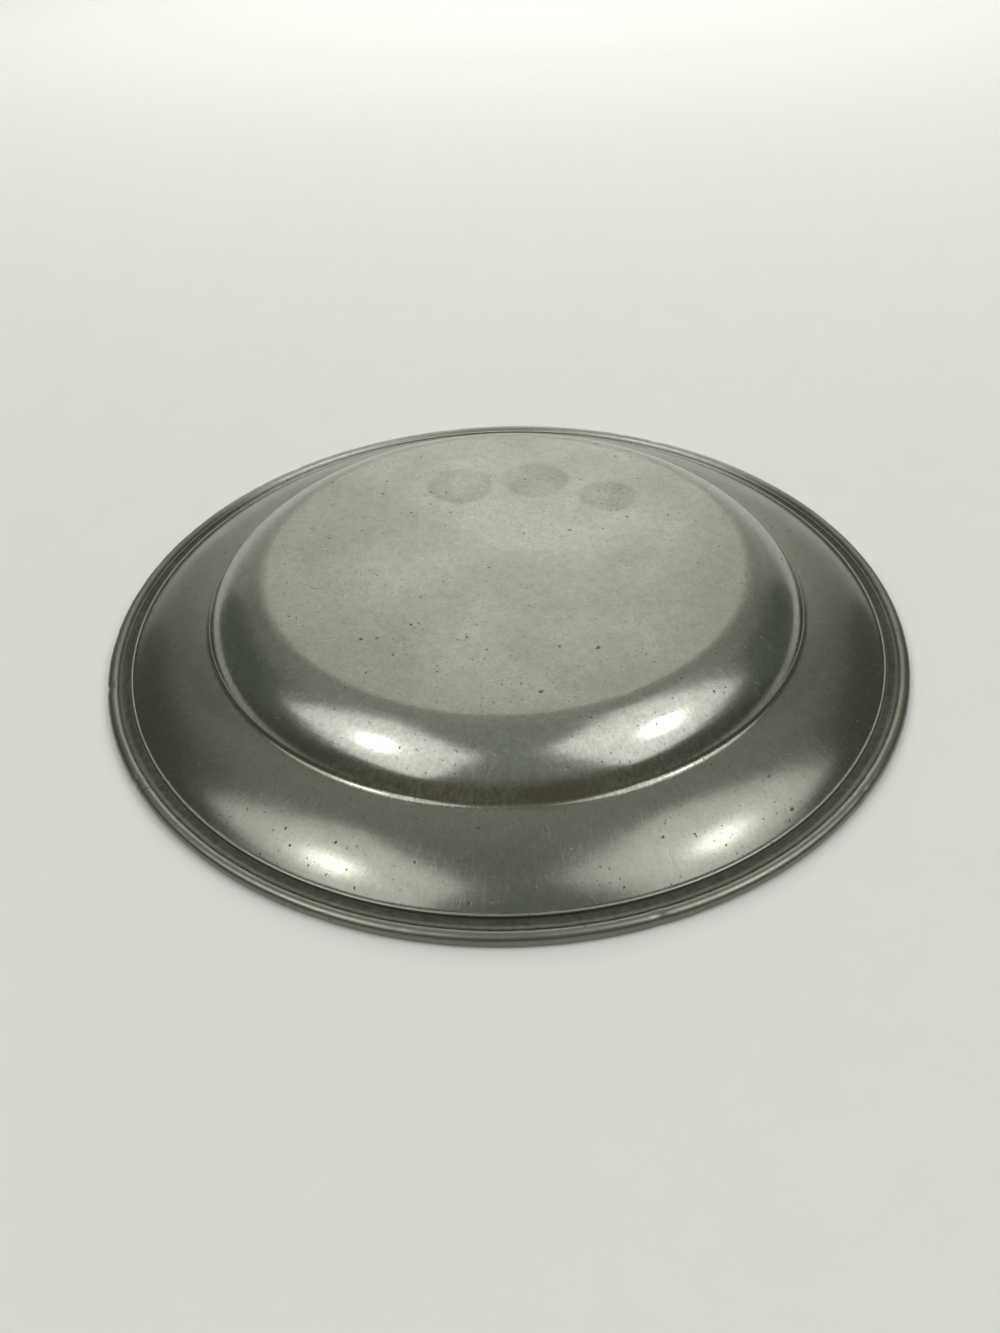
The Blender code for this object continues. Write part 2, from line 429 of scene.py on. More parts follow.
def spun(name, section, turns, closed):
    """Mesh of a section swept through a list of angles, either all round or with two ends."""
    corners = len(section)
    rings = len(turns)
    flat = np.array([tuple(point) for point in section])
    points = np.empty((rings, corners, 3))
    points[:, :, 0] = np.outer(np.cos(turns), flat[:, 0])
    points[:, :, 1] = np.outer(np.sin(turns), flat[:, 0])
    points[:, :, 2] = flat[:, 1]
    faces = []
    for ring in range(rings if closed else rings - 1):
        here, there = ring * corners, (ring + 1) % rings * corners
        for step in range(corners):
            after = (step + 1) % corners
            faces.append((here + step, here + after, there + after, there + step))
    if not closed:
        faces.append(tuple(range(corners)))
        faces.append(tuple(range((rings - 1) * corners, rings * corners)))

    mesh = bpy.data.meshes.new(name)
    mesh.from_pydata(points.reshape(-1, 3).tolist(), [], faces)
    work = bmesh.new()
    work.from_mesh(mesh)
    bmesh.ops.remove_doubles(work, verts=work.verts[:], dist=WELD_DISTANCE)
    bmesh.ops.dissolve_degenerate(work, edges=work.edges[:], dist=SLIVER_SIZE)
    bmesh.ops.recalc_face_normals(work, faces=work.faces[:])
    work.to_mesh(mesh)
    work.free()
    return mesh


def full_turn(steps):
    """Angles of a closed ring."""
    return np.linspace(0.0, 2.0 * math.pi, steps, endpoint=False)


def points_of(mesh):
    """Places of a mesh's vertices."""
    flat = np.empty(len(mesh.vertices) * 3)
    mesh.vertices.foreach_get("co", flat)
    return flat.reshape(-1, 3)


def move_to(mesh, points):
    """Move a mesh's vertices to new places, and shade it smooth."""
    mesh.vertices.foreach_set("co", points.ravel())
    mesh.shade_smooth()
    mesh.set_sharp_from_angle(angle=SHARP_ANGLE)
    mesh.update()


def ramp(values, low, high):
    """Smooth step from nought at low to one at high."""
    t = np.clip((values - low) / (high - low), 0.0, 1.0)
    return t * t * (3.0 - 2.0 * t)


def unevenness(points, wave, layer):
    """Smooth noise of one wave length over the plan, from about minus one to one."""
    return np.array([noise.noise((x / wave, y / wave, layer)) for x, y, _ in points])


def swell(points, wear):
    """Rise of the metal by old knocks, hammering and the turning tool, by place in plan."""
    radius = np.hypot(points[:, 0], points[:, 1])
    rise = wear.broad_swell * unevenness(points, wear.broad_wave, 1.5)
    rise += wear.small_swell * unevenness(points, wear.small_wave, 4.5)
    rise += wear.tool_swell * np.array([noise.noise((r / wear.tool_pitch, 8.5, 0.5)) for r in radius])
    draw = np.random.default_rng(wear.seed)
    for _ in range(wear.dents):
        turned = draw.uniform(0.0, 2.0 * math.pi)
        out = DENT_REACH * math.sqrt(draw.uniform(0.01, 1.0))
        size = wear.dent_size * draw.uniform(0.35, 1.0)
        depth = wear.dent_depth * draw.uniform(0.2, 1.0) * size / wear.dent_size
        away = np.hypot(points[:, 0] - out * math.cos(turned), points[:, 1] - out * math.sin(turned))
        rise -= depth * np.exp(-((away / size) ** 2))
    return rise


def follow_dish(points, wear):
    """Lift the points of a piece at the edge with the swell of the dish, but not off the resting plane."""
    points[:, 2] += swell(points, wear) * ramp(points[:, 2], 0.0, SWELL_FADE)


def roundel_wear(points):
    """How far each point lies inside a worn blank roundel, and the roundels' own relief."""
    inside = np.zeros(len(points))
    relief = np.zeros(len(points))
    for x, y, radius in ROUNDELS:
        away = np.hypot(points[:, 0] - x, points[:, 1] - y) / radius
        worn = 0.55 + 0.45 * unevenness(points, 0.8 * radius, 20.0 + 100.0 * x)
        sunk = 1.0 - ramp(away, ROUNDEL_EDGE, 1.0)
        ring = np.exp(-(((away - ROUNDEL_RING) / ROUNDEL_RING_WIDTH) ** 2))
        inside = np.maximum(inside, sunk * worn)
        relief += worn * (0.6 * ring - sunk)
    return inside, relief


def bead_dents(points, wear, moulding):
    """Depth of the knocks in the outer bead."""
    turned = np.degrees(np.arctan2(points[:, 1], points[:, 0])) % 360.0
    draw = np.random.default_rng(wear.seed + 1)
    knocks = list(BEAD_KNOCKS)
    for _ in range(wear.bead_dents):
        at = draw.uniform(0.0, 360.0)
        half_width = draw.uniform(0.8, 2.6) * MM
        knocks.append((at, half_width, wear.bead_dent_depth * draw.uniform(0.2, 1.0)))
    depth = np.zeros(len(points))
    for at, half_width, deep in knocks:
        off = (turned - at + 180.0) % 360.0 - 180.0
        along = np.radians(off) * moulding.plate_radius
        depth += deep * np.exp(-((along / half_width) ** 2))
    return depth


def add_piece(name, mesh, material, node=None):
    """Link a finished mesh as a piece that rides on the plate's one body."""
    old = bpy.data.objects.get(name)
    if old:
        bpy.data.objects.remove(old, do_unlink=True)
    piece = bpy.data.objects.new(name, mesh)
    bpy.context.scene.collection.objects.link(piece)
    mesh.materials.append(material)
    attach(piece, BODY)
    if node:
        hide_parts(node)


class Wiring:
    """Adds nodes to a tree and links their sockets."""

    def __init__(self, tree):
        self.tree = tree

    def put(self, socket, value):
        """Link a socket, or set its value."""
        if isinstance(value, bpy.types.NodeSocket):
            self.tree.links.new(value, socket)
        elif value is not None:
            socket.default_value = value

    def add(self, kind, inputs=(), **settings):
        """A node with its settings, and its inputs by name or number."""
        node = self.tree.nodes.new(kind)
        for key, value in settings.items():
            setattr(node, key, value)
        for key, value in dict(inputs).items():
            self.put(node.inputs[key], value)
        return node

    def math(self, operation, first, second=None):
        return self.add("ShaderNodeMath", {0: first, 1: second}, operation=operation).outputs[0]

    def times(self, first, second):
        return self.math("MULTIPLY", first, second)

    def vector(self, operation, first, second=None):
        node = self.add("ShaderNodeVectorMath", {0: first, 1: second}, operation=operation)
        return node.outputs["Value" if operation in ("LENGTH", "DOT_PRODUCT") else "Vector"]

    def ease(self, value, low, high, start=0.0, end=1.0):
        """Smooth step of a value, from start at low to end at high."""
        inputs = {"Value": value, "From Min": low, "From Max": high, "To Min": start, "To Max": end}
        node = self.add("ShaderNodeMapRange", inputs, interpolation_type="SMOOTHSTEP")
        return node.outputs["Result"]

    def split(self, vector):
        return self.add("ShaderNodeSeparateXYZ", {0: vector}).outputs

    def blend(self, factor, first, second):
        """Mix two colours."""
        node = self.add("ShaderNodeMix", data_type="RGBA")
        self.put(node.inputs["Factor"], factor)
        for key, value in (("A", first), ("B", second)):
            socket = next(s for s in node.inputs if s.name == key and s.type == "RGBA")
            self.put(socket, value if isinstance(value, bpy.types.NodeSocket) else (*value, 1.0))
        return next(s for s in node.outputs if s.type == "RGBA")

    def use(self, group, **inputs):
        """A node group with its inputs by name, where _ stands for a space."""
        node = self.add("ShaderNodeGroup", node_tree=group)
        for key, value in inputs.items():
            self.put(node.inputs[key.replace("_", " ").title()], value)
        return node.outputs


def new_group(name, inputs, outputs):
    """An empty shader node group: its wiring, inputs and outputs. Plan is a vector, the rest are numbers."""
    old = bpy.data.node_groups.get(name)
    if old:
        bpy.data.node_groups.remove(old)
    tree = bpy.data.node_groups.new(name, "ShaderNodeTree")
    for side, keys in (("INPUT", inputs), ("OUTPUT", outputs)):
        for key in keys:
            kind = "NodeSocketVector" if key == "Plan" else "NodeSocketFloat"
            tree.interface.new_socket(key, in_out=side, socket_type=kind)
    wire = Wiring(tree)
    return wire, wire.add("NodeGroupInput").outputs, wire.add("NodeGroupOutput").inputs


def plan_place_group():
    """Place in plan, and distance from the plate's axis."""
    wire, _, out = new_group("Plan Place", (), ("Plan", "Radius", "Height"))
    x, y, z = wire.split(wire.add("ShaderNodeTexCoord").outputs["Object"])
    plan = wire.add("ShaderNodeCombineXYZ", {"X": x, "Y": y}).outputs[0]
    wire.put(out["Plan"], plan)
    wire.put(out["Radius"], wire.vector("LENGTH", plan))
    wire.put(out["Height"], z)
    return wire.tree


def shifted(wire, given):
    """Place in plan, moved by the seed, so that each use has a pattern of its own."""
    shift = wire.add("ShaderNodeCombineXYZ", {"X": given["Seed"], "Y": given["Seed"]}).outputs[0]
    return wire.vector("ADD", given["Plan"], shift)


def scratches_group():
    """One short, slightly bent scratch in some of the cells of a random pattern."""
    wire, given, out = new_group("Fine Scratches", ("Plan", "Cell", "Width", "Share", "Seed"), ("Mask",))
    place_there = shifted(wire, given)
    scale = wire.math("DIVIDE", 1.0, given["Cell"])
    cells = wire.add(
        "ShaderNodeTexVoronoi", {"Vector": place_there, "Scale": scale}, voronoi_dimensions="2D"
    ).outputs
    picks = wire.add("ShaderNodeSeparateColor", {0: cells["Color"]}).outputs
    local = wire.vector("SUBTRACT", place_there, cells["Position"])
    turned = wire.add(
        "ShaderNodeVectorRotate",
        {"Vector": local, "Angle": wire.times(picks[0], 2.0 * math.pi)},
        rotation_type="Z_AXIS",
    ).outputs[0]
    along, across, _ = wire.split(turned)

    # Thin and slightly bent, to either side
    either_way = wire.math("SUBTRACT", picks[2], 0.5)
    bend = wire.times(either_way, wire.math("DIVIDE", 0.5, given["Cell"]))
    bow = wire.times(wire.times(along, along), bend)
    aside = wire.math("ABSOLUTE", wire.math("SUBTRACT", across, bow))
    thin = wire.ease(wire.math("DIVIDE", aside, given["Width"]), 0.2, 1.0, 1.0, 0.0)

    # About as long as its cell, faint at its ends, and some are fainter than others
    reach = wire.times(given["Cell"], 0.55)
    ends = wire.ease(wire.math("DIVIDE", wire.math("ABSOLUTE", along), reach), 0.25, 1.0, 1.0, 0.0)
    there = wire.math("LESS_THAN", picks[1], given["Share"])
    depth = wire.times(there, wire.math("ADD", 0.35, wire.times(picks[2], 0.65)))
    wire.put(out["Mask"], wire.times(wire.times(thin, ends), depth))
    return wire.tree


def pits_group():
    """Small ragged pits of random size, in some of the cells of a random pattern."""
    wire, given, out = new_group("Small Pits", ("Plan", "Cell", "Size", "Share", "Seed"), ("Mask",))
    place_there = shifted(wire, given)

    # Places strayed by noise, which makes the edges ragged
    ragged = wire.add(
        "ShaderNodeTexNoise",
        {"Vector": place_there, "Scale": wire.math("DIVIDE", 0.9, given["Size"]), "Detail": 2.0},
    ).outputs["Color"]
    centred = wire.vector("SUBTRACT", ragged, (0.5, 0.5, 0.5))
    reach = wire.times(given["Size"], 2.2)
    stray = wire.add("ShaderNodeVectorMath", {0: centred, "Scale": reach}, operation="SCALE").outputs[0]
    scale = wire.math("DIVIDE", 1.0, given["Cell"])
    cells = wire.add(
        "ShaderNodeTexVoronoi",
        {"Vector": wire.vector("ADD", place_there, stray), "Scale": scale},
        voronoi_dimensions="2D",
    ).outputs
    picks = wire.add("ShaderNodeSeparateColor", {0: cells["Color"]}).outputs
    away = wire.times(cells["Distance"], given["Cell"])

    # Most are small
    grown = wire.math("ADD", 0.3, wire.times(wire.math("POWER", picks[0], 2.0), 0.7))
    size = wire.times(given["Size"], grown)
    dot = wire.ease(wire.math("DIVIDE", away, size), 0.35, 1.0, 1.0, 0.0)

    # Crowded in some places and rare in others
    crowd = wire.add(
        "ShaderNodeTexNoise", {"Vector": place_there, "Scale": wire.math("DIVIDE", 0.2, given["Cell"])}
    ).outputs[0]
    share_there = wire.times(given["Share"], wire.ease(crowd, 0.32, 0.68, 0.1, 1.9))
    wire.put(out["Mask"], wire.times(dot, wire.math("LESS_THAN", picks[1], share_there)))
    return wire.tree


def patina_group():
    """Cloudy film on old metal, broad and fine, each from nought to one."""
    wire, given, out = new_group("Patina", ("Plan", "Spread"), ("Cloud", "Fleck"))
    for key, finer, detail, low, high in (("Cloud", 1.0, 2.0, 0.34, 0.66), ("Fleck", 14.0, 3.0, 0.34, 0.68)):
        scale = wire.math("DIVIDE", finer, given["Spread"])
        inputs = {"Vector": given["Plan"], "Scale": scale, "Detail": detail, "Roughness": 0.62}
        film = wire.add("ShaderNodeTexNoise", inputs).outputs[0]
        wire.put(out[key], wire.ease(film, low, high))
    return wire.tree


def ring_group():
    """A soft ring round the plate's axis."""
    wire, given, out = new_group("Ring", ("Radius", "Middle", "Half Width"), ("Mask",))
    away = wire.math("ABSOLUTE", wire.math("SUBTRACT", given["Radius"], given["Middle"]))
    wire.put(out["Mask"], wire.ease(wire.math("DIVIDE", away, given["Half Width"]), 0.4, 1.0, 1.0, 0.0))
    return wire.tree


def turning_group():
    """Fine rings that the turning tool left, as a height from nought to one."""
    wire, given, out = new_group("Turning Marks", ("Radius", "Pitch"), ("Height",))
    rings = wire.add(
        "ShaderNodeTexNoise",
        {"W": wire.math("DIVIDE", given["Radius"], given["Pitch"]), "Scale": 1.0, "Detail": 2.0},
        noise_dimensions="1D",
    ).outputs[0]
    wire.put(out["Height"], rings)
    return wire.tree


@functools.cache
def groups():
    """The shared effects, built the first time they are asked for."""
    return {
        "plan": plan_place_group(),
        "scratches": scratches_group(),
        "pits": pits_group(),
        "patina": patina_group(),
        "ring": ring_group(),
        "turning": turning_group(),
    }


def new_material(name, metallic):
    """An empty material, its wiring and its shader."""
    old = bpy.data.materials.get(name)
    if old:
        bpy.data.materials.remove(old)
    material = bpy.data.materials.new(name)
    material.use_nodes = True
    wire = Wiring(material.node_tree)
    shader = material.node_tree.nodes["Principled BSDF"]
    shader.inputs["Metallic"].default_value = metallic
    return material, wire, shader


def total(wire, values):
    """Sum of several masks, kept to one at most."""
    result = values[0]
    for value in values[1:]:
        result = wire.math("ADD", result, value)
    return wire.math("MINIMUM", result, 1.0)


def mask_of(wire, effect, **inputs):
    """Mask of one of the shared effects."""
    return wire.use(groups()[effect], **inputs)["Mask"]


def ring_mask(wire, radius, ring):
    """Mask of a soft ring, from its middle radius and half width."""
    return mask_of(wire, "ring", radius=radius, middle=ring[0], half_width=ring[1])


def layered(wire, tone, layers):
    """A colour under several films, each with its mask, the share of it that shows, and its own colour."""
    for mask, shown, film in layers:
        tone = wire.blend(wire.times(mask, shown), tone, film)
    return tone


def weighted(wire, start, parts):
    """A value with several masks added, each by its own weight."""
    for mask, weight in parts:
        start = wire.math("ADD", start, wire.times(mask, weight))
    return start


def finish_metal(wire, shader, tone, rough, height):
    """Feed a metal's colour, roughness and height in metres to its shader."""
    wire.put(shader.inputs["Base Color"], tone)
    wire.put(shader.inputs["Roughness"], rough)
    bump = wire.add("ShaderNodeBump", {"Strength": 1.0, "Distance": 1.0, "Height": height})
    wire.put(shader.inputs["Normal"], bump.outputs[0])


def worn_pewter(colours):
    """Metal of the dish: satin well, polished shoulder, brown film by the fillet, pits and scratches."""
    material, wire, shader = new_material("Worn Pewter", 1.0)
    made = groups()
    where = wire.use(made["plan"])
    plan, radius = where["Plan"], where["Radius"]
    film = wire.use(made["patina"], plan=plan, spread=0.045)
    grain = wire.use(made["patina"], plan=plan, spread=0.014)["Fleck"]
    shoulder = ring_mask(wire, radius, SHOULDER_RING)
    fillet = ring_mask(wire, radius, FILLET_RING)
    well = wire.ease(radius, 68.0 * MM, 76.0 * MM, 1.0, 0.0)
    rim = wire.ease(radius, 86.8 * MM, 89.2 * MM)

    # Scratches and pits, the glints on the polished shoulder alone
    marks = mask_of(wire, "scratches", plan=plan, cell=7.0 * MM, width=0.11 * MM, share=0.14, seed=1.73)
    ticks = mask_of(wire, "scratches", plan=plan, cell=3.4 * MM, width=0.10 * MM, share=0.35, seed=2.57)
    glints = mask_of(wire, "scratches", plan=plan, cell=3.6 * MM, width=0.24 * MM, share=0.16, seed=9.1)
    glints = wire.times(glints, shoulder)
    scratched = total(wire, [wire.times(marks, 0.6), wire.times(ticks, 0.6), glints])
    crowd = weighted(wire, 0.65, [(shoulder, 0.35)])
    specks = mask_of(wire, "pits", plan=plan, cell=2.3 * MM, size=0.36 * MM, share=crowd, seed=2.2)
    fine_pits = mask_of(wire, "pits", plan=plan, cell=6.0 * MM, size=0.55 * MM, share=0.40, seed=3.1)
    big_pits = mask_of(wire, "pits", plan=plan, cell=15.0 * MM, size=0.85 * MM, share=0.45, seed=4.7)
    holes = total(wire, [fine_pits, big_pits])
    pitted = total(wire, [wire.times(specks, 0.7), holes])
    rings = wire.use(made["turning"], radius=radius, pitch=0.9 * MM)["Height"]

    # Smears that wiping left on the shoulder and the rim, drawn out along the radius
    turned = wire.vector("MULTIPLY", wire.vector("NORMALIZE", plan), (SMEARS_ROUND, SMEARS_ROUND, 0.0))
    swept = wire.vector("ADD", turned, wire.times(radius, SMEARS_OUT))
    sweep = wire.add("ShaderNodeTexNoise", {"Vector": swept}).outputs[0]
    smear = wire.times(wire.ease(sweep, 0.48, 0.78), wire.math("SUBTRACT", 1.0, well))

    # Brown film in the fillet, and grey film in the roundels
    brown = wire.times(fillet, wire.math("MAXIMUM", film["Cloud"], grain))
    roundel = wire.add("ShaderNodeAttribute", attribute_name="roundel").outputs["Fac"]
    grey = wire.times(roundel, weighted(wire, 0.40, [(grain, 0.45)]))

    tone = layered(wire, colours.clean, [
        (film["Cloud"], 0.70, colours.dull_and_painted_light),
        (shoulder, 0.75, colours.bright),
        (rim, 0.80, colours.rim),
        (film["Fleck"], 0.22, colours.stain),
        (grain, 0.24, colours.stain),
        (smear, 0.20, colours.bright),
        (brown, 0.50, colours.stain),
        (grey, 1.0, colours.strip),
        (scratched, 0.50, colours.bright),
        (pitted, 0.65, colours.grime_and_painted_shade),
    ])
    rough = weighted(wire, 0.16, [
        (film["Cloud"], 0.05),
        (well, 0.10),
        (rim, 0.02),
        (smear, 0.06),
        (scratched, 0.10),
        (pitted, 0.30),
    ])
    height = weighted(wire, 0.0, [(scratched, -0.005 * MM), (holes, -0.030 * MM), (rings, 0.006 * MM)])
    finish_metal(wire, shader, tone, rough, height)
    return material


def dull_pewter(colours):
    """Metal of the moulding: duller, with dirt in the groove, darker on the ledge and in the dip, and
    painted shade low on the bead; painted light makes its back paler and its front lighter, and the reed is
    paler, partly rubbed and partly a painted highlight.
    """
    material, wire, shader = new_material("Dull Pewter", 1.0)
    made = groups()
    where = wire.use(made["plan"])
    plan, radius = where["Plan"], where["Radius"]
    film = wire.use(made["patina"], plan=plan, spread=0.030)
    groove = ring_mask(wire, radius, GROOVE_RING)
    dip = ring_mask(wire, radius, DIP_RING)
    ledge = ring_mask(wire, radius, LEDGE_RING)
    reed = ring_mask(wire, radius, REED_RING)
    # Painted shade on the lowest part of the bead, next to the floor
    under = wire.ease(where["Height"], 0.3 * MM, 1.1 * MM, 1.0, 0.0)
    along = wire.split(plan)[1]
    # Painted light: the back of the moulding is made paler, and its dirt and shade are lifted there
    rear = wire.ease(along, 50.0 * MM, 88.0 * MM)
    # Painted highlight: the front of the moulding is made lighter
    front = wire.ease(along, -85.0 * MM, -35.0 * MM, 1.0, 0.0)

    marks = mask_of(wire, "scratches", plan=plan, cell=6.0 * MM, width=0.18 * MM, share=0.6, seed=5.3)
    ticks = mask_of(wire, "scratches", plan=plan, cell=2.6 * MM, width=0.16 * MM, share=0.5, seed=6.1)
    scratched = total(wire, [marks, ticks])
    pitted = mask_of(wire, "pits", plan=plan, cell=3.6 * MM, size=0.45 * MM, share=0.4, seed=7.7)
    rings = wire.use(made["turning"], radius=radius, pitch=0.6 * MM)["Height"]

    # Patchy dirt in the groove, darker on the ledge and in the dip, and painted shade low on the bead,
    # nearly all lifted at the back as painted light
    dirt_and_shade = total(wire, [groove, wire.times(ledge, 0.4), wire.times(dip, 0.4), under])
    patchy_dirt_and_shade = wire.times(dirt_and_shade, weighted(wire, 0.80, [(film["Fleck"], 0.20)]))
    patchy_dirt_and_shade = wire.times(patchy_dirt_and_shade, weighted(wire, 1.0, [(rear, -0.92)]))

    tone = layered(wire, colours.strip, [
        (film["Cloud"], 0.25, colours.dull_and_painted_light),
        # Painted highlight: the front blended towards a lighter metal
        (front, 0.50, colours.dull_and_painted_light),
        # The reed made paler: partly rubbed metal, partly a painted highlight
        (reed, 0.45, colours.bright),
        # Painted light: the back of the moulding made as pale as clean metal
        (rear, 1.0, colours.clean),
        (film["Fleck"], 0.16, colours.stain),
        (scratched, 0.25, colours.bright),
        # Dirt in the groove, darkening on the ledge and in the dip, and painted shade low on the bead
        (patchy_dirt_and_shade, 0.74, colours.grime_and_painted_shade),
        (pitted, 0.70, colours.grime_and_painted_shade),
    ])
    rough = weighted(wire, 0.30, [(film["Fleck"], 0.05), (patchy_dirt_and_shade, 0.25), (scratched, 0.10)])
    height = weighted(wire, 0.0, [
        (scratched, -0.014 * MM),
        (pitted, -0.050 * MM),
        (rings, 0.006 * MM),
        (film["Fleck"], 0.005 * MM),
    ])
    finish_metal(wire, shader, tone, rough, height)
    return material


def grey_solder(colours):
    """Solder: grey, matt and dirty."""
    material, wire, shader = new_material("Grey Solder", 1.0)
    made = groups()
    plan = wire.use(made["plan"])["Plan"]
    film = wire.use(made["patina"], plan=plan, spread=0.012)
    tone = layered(wire, colours.solder, [(film["Cloud"], 0.4, colours.grime_and_painted_shade)])
    rough = weighted(wire, 0.38, [(film["Fleck"], 0.2)])
    height = weighted(wire, 0.0, [(film["Fleck"], 0.020 * MM)])
    finish_metal(wire, shader, tone, rough, height)
    return material


def pale_floor(studio):
    """Matt pale floor and backdrop with a faint unevenness."""
    material, wire, shader = new_material("Pale Floor", 0.0)
    shader.inputs["Roughness"].default_value = 0.9
    shader.inputs["Specular IOR Level"].default_value = 0.1
    spot = wire.add("ShaderNodeTexCoord").outputs["Object"]
    cloud = wire.add("ShaderNodeTexNoise", {"Vector": spot, "Scale": 60.0, "Detail": 6.0}).outputs[0]
    darker = [0.97 * value for value in studio.floor_colour]
    wire.put(shader.inputs["Base Color"], wire.blend(cloud, studio.floor_colour, darker))
    return material


class PEWTER_OT_turn_dish(bpy.types.Operator):
    """Turn the dish: well, shoulder, bouge and rim in one sheet"""

    bl_idname = "pewter.turn_dish"
    bl_label = "Turn Dish"
    bl_options = {"REGISTER", "UNDO"}

    def execute(self, context):
        scene = context.scene
        wear = scene.pewter_wear
        mesh = spun("plate_dish", dish_section(scene.pewter_dish), full_turn(DISH_TURN_STEPS), True)
        points = points_of(mesh)
        inside, relief = roundel_wear(points)
        on_foot = points[:, 2] > scene.pewter_dish.foot_height - FOOT_DEPTH
        points[:, 2] += swell(points, wear)
        points[:, 2] += wear.roundel_depth * relief * on_foot
        move_to(mesh, points)
        mask = mesh.attributes.new("roundel", "FLOAT", "POINT")
        mask.data.foreach_set("value", (inside * on_foot).astype(np.float32))
        add_piece("plate_dish", mesh, worn_pewter(scene.pewter_finish), "plate_body")
        return {"FINISHED"}


class PEWTER_OT_bend_moulding(bpy.types.Operator):
    """Bend the reeded strip round the rim, with its two ends butted"""

    bl_idname = "pewter.bend_moulding"
    bl_label = "Bend Moulding"
    bl_options = {"REGISTER", "UNDO"}

    def execute(self, context):
        scene = context.scene
        sizes = scene.pewter_moulding
        plan = StripPlan(sizes, scene.pewter_dish)
        start = sizes.butt_angle + plan.half_gap
        turns = np.linspace(start, start + 2.0 * (math.pi - plan.half_gap), STRIP_TURN_STEPS + 1)
        mesh = spun("edge_moulding", strip_section(sizes, plan), turns, False)
        points = points_of(mesh)
        radius = np.hypot(points[:, 0], points[:, 1])
        depth = bead_dents(points, scene.pewter_wear, sizes)
        exposed = ramp(points[:, 2], KNOCK_LOW, KNOCK_HIGH)
        exposed *= ramp(radius, plan.bead.x - KNOCK_INSIDE, plan.bead.x)
        from_bead = np.stack([radius - plan.bead.x, points[:, 2] - plan.bead.y])
        from_bead /= np.maximum(np.hypot(*from_bead), 0.1 * MM)
        inward = depth * exposed
        for axis in (0, 1):
            points[:, axis] *= 1.0 - inward * from_bead[0] / radius
        points[:, 2] -= inward * from_bead[1]
        follow_dish(points, scene.pewter_wear)
        move_to(mesh, points)
        add_piece("edge_moulding", mesh, dull_pewter(scene.pewter_finish), "rim_moulding")
        return {"FINISHED"}


class PEWTER_OT_run_solder(bpy.types.Operator):
    """Run solder into the moulding's rebate and its butt joint"""

    bl_idname = "pewter.run_solder"
    bl_label = "Run Solder"
    bl_options = {"REGISTER", "UNDO"}

    def execute(self, context):
        scene = context.scene
        sizes = scene.pewter_moulding
        plan = StripPlan(sizes, scene.pewter_dish)
        material = grey_solder(scene.pewter_finish)
        seam = spun("solder_seam", solder_section(sizes, plan), full_turn(DISH_TURN_STEPS), True)
        section = strip_section(sizes, plan)
        centre = sum(section, Vector((0.0, 0.0))) / len(section)
        sunk = [point + (centre - point).normalized() * sizes.solder_sink for point in section]
        turns = sizes.butt_angle + np.linspace(-plan.half_gap, plan.half_gap, BUTT_STEPS + 1)
        butt = spun("solder_butt", sunk, turns, False)
        for name, mesh in (("solder_seam", seam), ("solder_butt", butt)):
            points = points_of(mesh)
            follow_dish(points, scene.pewter_wear)
            move_to(mesh, points)
            add_piece(name, mesh, material)
        return {"FINISHED"}


def add_stage_piece(name, points, faces, material):
    """Link a mesh that isn't part of the plate."""
    mesh = bpy.data.meshes.new(name)
    mesh.from_pydata(points, [], faces)
    mesh.materials.append(material)
    mesh.shade_smooth()
    piece = bpy.data.objects.new(name, mesh)
    bpy.context.scene.collection.objects.link(piece)


def lay_floor(studio, material):
    """Wide flat floor under the plate."""
    half = 0.5 * studio.floor_size
    corners = [(-half, -half, 0.0), (half, -half, 0.0), (half, half, 0.0), (-half, half, 0.0)]
    add_stage_piece("floor", corners, [(0, 1, 2, 3)], material)


def hang_backdrop(studio, material):
    """Pale board that curves up from the floor behind the plate."""
    bend = studio.backdrop_bend
    walk = Walk((studio.backdrop_distance - bend, BACKDROP_LIFT))
    walk.arc(bend, math.pi / 2, BACKDROP_BEND_STEPS)
    walk.line(studio.backdrop_height - bend, BACKDROP_RISE_STEPS)
    half = 0.5 * studio.backdrop_width
    middle = studio.backdrop_shift
    points = [(middle + side * half, point.x, point.y) for point in walk.points for side in (-1, 1)]
    faces = [(row, row + 1, row + 3, row + 2) for row in range(0, len(points) - 2, 2)]
    add_stage_piece("backdrop", points, faces, material)


def add_lamp(name, shape, size, glow, spot, beam):
    """An area lamp that shines along a beam, with a face of a given brightness, where one is white."""
    width, height = size
    lamp = bpy.data.lights.new(name, "AREA")
    lamp.shape = shape
    lamp.size = width
    lamp.size_y = height
    face = width * height * (math.pi / 4 if shape == "ELLIPSE" else 1.0)
    lamp.energy = glow * math.pi * face
    lamp_object = bpy.data.objects.new(name, lamp)
    lamp_object.location = spot
    lamp_object.rotation_mode = "QUATERNION"
    lamp_object.rotation_quaternion = beam.to_track_quat("-Z", "Y")
    bpy.context.scene.collection.objects.link(lamp_object)


def hang_lamps(studio):
    """A soft panel and a lamp on each side, and a lamp that washes the backdrop but not the plate."""
    panel = (studio.panel_width, studio.panel_height)
    lamp = (studio.lamp_width, studio.lamp_height)
    wash = (studio.wash_width, studio.wash_height)
    for side in ("left", "right"):
        spot = Vector(getattr(studio, side + "_panel_place"))
        aim = Vector(getattr(studio, side + "_panel_aim"))
        glow = getattr(studio, side + "_panel_glow")
        add_lamp(side + "_panel", "RECTANGLE", panel, glow, spot, aim - spot)
    for side in ("left", "right"):
        spot = Vector(getattr(studio, side + "_lamp_place"))
        add_lamp(side + "_lamp", "ELLIPSE", lamp, studio.lamp_glow, spot, -spot)
    _, back, up = studio.wash_place
    past_plate = Vector((0.0, up, -back))
    add_lamp("backdrop_wash", "RECTANGLE", wash, studio.wash_glow, studio.wash_place, past_plate)


